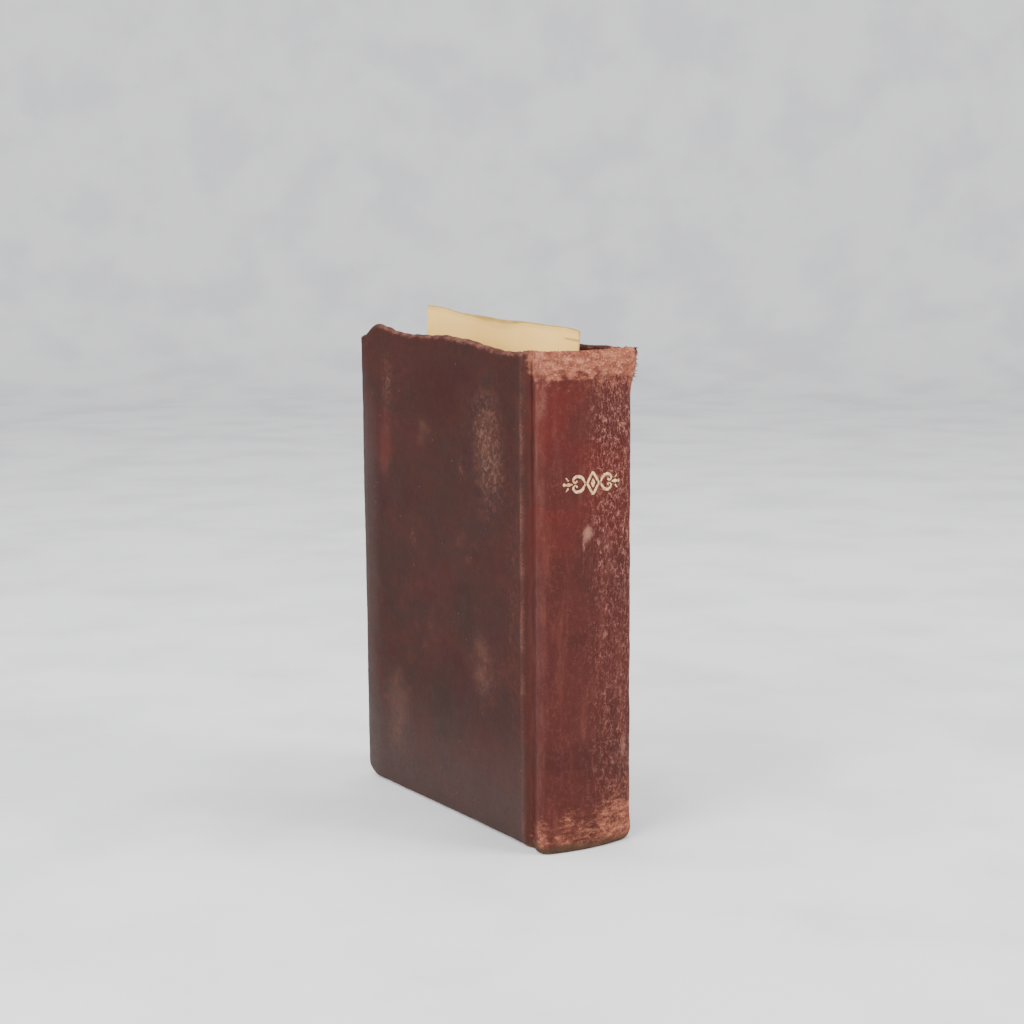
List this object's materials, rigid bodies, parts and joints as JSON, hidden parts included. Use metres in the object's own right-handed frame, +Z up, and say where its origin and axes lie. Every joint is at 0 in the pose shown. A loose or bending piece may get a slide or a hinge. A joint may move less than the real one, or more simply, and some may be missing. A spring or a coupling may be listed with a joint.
{
  "type": "prayer book",
  "caption": "Small thick leather-bound prayer book standing upright, worn red-brown spine and dark covers that open, sewn pages and a loose paper card between them.",
  "frame": {"origin": "bottom centre of the closed book, on the surface that it stands on", "axes": "+Z up the spine, -Y out of the spine, +Y to the fore-edge, +X out of the front cover, -X out of the back cover"},
  "size_m": [0.0272, 0.093, 0.133],
  "materials": {
    "spine_leather": "worn, crazed, satin",
    "cover_leather": "worn, mottled, satin",
    "joint_leather": "creased",
    "gilt": "rubbed gold leaf",
    "board": "pulp board",
    "endpaper": "aged",
    "page_paper": "aged",
    "card_paper": "aged, smooth",
    "lining_paper": "kraft",
    "mull_cloth": "open weave",
    "linen_tape": "woven",
    "linen_thread": "waxed",
    "band_silk": "wound"
  },
  "bodies": {
    "spine": {"spine_leather": "spine_leather", "spine_ornament": "gilt", "spine_hollow": "lining_paper", "spine_mull": "mull_cloth", "sewing_tape_1": "linen_tape", "sewing_tape_2": "linen_tape", "sewing_tape_3": "linen_tape", "sewing_thread": "linen_thread", "head_band": "band_silk", "tail_band": "band_silk"},
    "front_cover": {"front_cover_leather": "cover_leather", "front_board": "board", "front_joint_leather": "joint_leather", "front_pastedown": "endpaper"},
    "back_cover": {"back_cover_leather": "cover_leather", "back_board": "board", "back_joint_leather": "joint_leather", "back_pastedown": "endpaper"},
    "front_flyleaf": {"front_flyleaf": "endpaper"},
    "back_flyleaf": {"back_flyleaf": "endpaper"},
    "card": {"paper_card": "card_paper"},
    "signature_01": {"signature_01": "page_paper"},
    "signature_02": {"signature_02": "page_paper"},
    "signature_03": {"signature_03": "page_paper"},
    "signature_04": {"signature_04": "page_paper"},
    "signature_05": {"signature_05": "page_paper"},
    "signature_06": {"signature_06": "page_paper"},
    "signature_07": {"signature_07": "page_paper"},
    "signature_08": {"signature_08": "page_paper"},
    "signature_09": {"signature_09": "page_paper"},
    "signature_10": {"signature_10": "page_paper"},
    "signature_11": {"signature_11": "page_paper"},
    "signature_12": {"signature_12": "page_paper"},
    "signature_13": {"signature_13": "page_paper"},
    "signature_14": {"signature_14": "page_paper"},
    "signature_15": {"signature_15": "page_paper"},
    "signature_16": {"signature_16": "page_paper"},
    "signature_17": {"signature_17": "page_paper"},
    "signature_18": {"signature_18": "page_paper"},
    "signature_19": {"signature_19": "page_paper"},
    "signature_20": {"signature_20": "page_paper"}
  },
  "joints": [
    {"name": "front_cover_hinge", "type": "hinge", "parent": "spine", "child": "front_cover", "pos_m": [0.0131, -0.041, 0.0625], "axis": [0, 0, -1], "range_deg": [0, 150], "deforming": ["front_joint_leather"]},
    {"name": "back_cover_hinge", "type": "hinge", "parent": "spine", "child": "back_cover", "pos_m": [-0.0131, -0.041, 0.0625], "axis": [0, 0, 1], "range_deg": [0, 150], "deforming": ["back_joint_leather"]},
    {"name": "card_slide", "type": "slide", "parent": "spine", "child": "card", "axis": [0, 0, 1], "range_m": [0, 0.125]},
    {"name": "signature_01_fold", "type": "hinge", "parent": "spine", "child": "signature_01", "pos_m": [0.01004, -0.04167, 0.0624], "axis": [0, 0, -1], "range_deg": [0, 42.1]},
    {"name": "signature_02_fold", "type": "hinge", "parent": "spine", "child": "signature_02", "pos_m": [0.00902, -0.04201, 0.0624], "axis": [0, 0, -1], "range_deg": [0, 37.9]},
    {"name": "signature_03_fold", "type": "hinge", "parent": "spine", "child": "signature_03", "pos_m": [0.008, -0.04231, 0.0624], "axis": [0, 0, -1], "range_deg": [0, 33.7]},
    {"name": "signature_04_fold", "type": "hinge", "parent": "spine", "child": "signature_04", "pos_m": [0.00698, -0.04258, 0.0624], "axis": [0, 0, -1], "range_deg": [0, 29.5]},
    {"name": "signature_05_fold", "type": "hinge", "parent": "spine", "child": "signature_05", "pos_m": [0.00596, -0.0428, 0.0624], "axis": [0, 0, -1], "range_deg": [0, 25.3]},
    {"name": "signature_06_fold", "type": "hinge", "parent": "spine", "child": "signature_06", "pos_m": [0.00494, -0.04299, 0.0624], "axis": [0, 0, -1], "range_deg": [0, 21.1]},
    {"name": "signature_07_fold", "type": "hinge", "parent": "spine", "child": "signature_07", "pos_m": [0.00392, -0.04314, 0.0624], "axis": [0, 0, -1], "range_deg": [0, 16.9]},
    {"name": "signature_08_fold", "type": "hinge", "parent": "spine", "child": "signature_08", "pos_m": [0.0029, -0.04326, 0.0624], "axis": [0, 0, -1], "range_deg": [0, 12.7]},
    {"name": "signature_09_fold", "type": "hinge", "parent": "spine", "child": "signature_09", "pos_m": [0.00188, -0.04334, 0.0624], "axis": [0, 0, -1], "range_deg": [0, 8.5]},
    {"name": "signature_10_fold", "type": "hinge", "parent": "spine", "child": "signature_10", "pos_m": [0.00086, -0.04339, 0.0624], "axis": [0, 0, -1], "range_deg": [0, 4.3]},
    {"name": "signature_11_fold", "type": "hinge", "parent": "spine", "child": "signature_11", "pos_m": [-0.00086, -0.04339, 0.0624], "axis": [0, 0, 1], "range_deg": [0, 4.3]},
    {"name": "signature_12_fold", "type": "hinge", "parent": "spine", "child": "signature_12", "pos_m": [-0.00188, -0.04334, 0.0624], "axis": [0, 0, 1], "range_deg": [0, 8.5]},
    {"name": "signature_13_fold", "type": "hinge", "parent": "spine", "child": "signature_13", "pos_m": [-0.0029, -0.04326, 0.0624], "axis": [0, 0, 1], "range_deg": [0, 12.7]},
    {"name": "signature_14_fold", "type": "hinge", "parent": "spine", "child": "signature_14", "pos_m": [-0.00392, -0.04314, 0.0624], "axis": [0, 0, 1], "range_deg": [0, 16.9]},
    {"name": "signature_15_fold", "type": "hinge", "parent": "spine", "child": "signature_15", "pos_m": [-0.00494, -0.04299, 0.0624], "axis": [0, 0, 1], "range_deg": [0, 21.1]},
    {"name": "signature_16_fold", "type": "hinge", "parent": "spine", "child": "signature_16", "pos_m": [-0.00596, -0.0428, 0.0624], "axis": [0, 0, 1], "range_deg": [0, 25.3]},
    {"name": "signature_17_fold", "type": "hinge", "parent": "spine", "child": "signature_17", "pos_m": [-0.00698, -0.04258, 0.0624], "axis": [0, 0, 1], "range_deg": [0, 29.5]},
    {"name": "signature_18_fold", "type": "hinge", "parent": "spine", "child": "signature_18", "pos_m": [-0.008, -0.04231, 0.0624], "axis": [0, 0, 1], "range_deg": [0, 33.7]},
    {"name": "signature_19_fold", "type": "hinge", "parent": "spine", "child": "signature_19", "pos_m": [-0.00902, -0.04201, 0.0624], "axis": [0, 0, 1], "range_deg": [0, 37.9]},
    {"name": "signature_20_fold", "type": "hinge", "parent": "spine", "child": "signature_20", "pos_m": [-0.01004, -0.04167, 0.0624], "axis": [0, 0, 1], "range_deg": [0, 42.1]},
    {"name": "front_flyleaf_fold", "type": "hinge", "parent": "signature_01", "child": "front_flyleaf", "pos_m": [0.01069, -0.04067, 0.0624], "axis": [0, 0, -1], "range_deg": [0, 2.1]},
    {"name": "back_flyleaf_fold", "type": "hinge", "parent": "signature_20", "child": "back_flyleaf", "pos_m": [-0.01069, -0.04067, 0.0624], "axis": [0, 0, 1], "range_deg": [0, 2.1]}
  ],
  "couplings": [
    {"joint": "signature_01_fold", "follows": "front_cover_hinge", "ratio": 0.28},
    {"joint": "signature_02_fold", "follows": "front_cover_hinge", "ratio": 0.252},
    {"joint": "signature_03_fold", "follows": "front_cover_hinge", "ratio": 0.224},
    {"joint": "signature_04_fold", "follows": "front_cover_hinge", "ratio": 0.196},
    {"joint": "signature_05_fold", "follows": "front_cover_hinge", "ratio": 0.168},
    {"joint": "signature_06_fold", "follows": "front_cover_hinge", "ratio": 0.14},
    {"joint": "signature_07_fold", "follows": "front_cover_hinge", "ratio": 0.112},
    {"joint": "signature_08_fold", "follows": "front_cover_hinge", "ratio": 0.084},
    {"joint": "signature_09_fold", "follows": "front_cover_hinge", "ratio": 0.056},
    {"joint": "signature_10_fold", "follows": "front_cover_hinge", "ratio": 0.028},
    {"joint": "signature_11_fold", "follows": "back_cover_hinge", "ratio": 0.028},
    {"joint": "signature_12_fold", "follows": "back_cover_hinge", "ratio": 0.056},
    {"joint": "signature_13_fold", "follows": "back_cover_hinge", "ratio": 0.084},
    {"joint": "signature_14_fold", "follows": "back_cover_hinge", "ratio": 0.112},
    {"joint": "signature_15_fold", "follows": "back_cover_hinge", "ratio": 0.14},
    {"joint": "signature_16_fold", "follows": "back_cover_hinge", "ratio": 0.168},
    {"joint": "signature_17_fold", "follows": "back_cover_hinge", "ratio": 0.196},
    {"joint": "signature_18_fold", "follows": "back_cover_hinge", "ratio": 0.224},
    {"joint": "signature_19_fold", "follows": "back_cover_hinge", "ratio": 0.252},
    {"joint": "signature_20_fold", "follows": "back_cover_hinge", "ratio": 0.28},
    {"joint": "front_flyleaf_fold", "follows": "front_cover_hinge", "ratio": 0.013333},
    {"joint": "back_flyleaf_fold", "follows": "back_cover_hinge", "ratio": 0.013333}
  ]
}
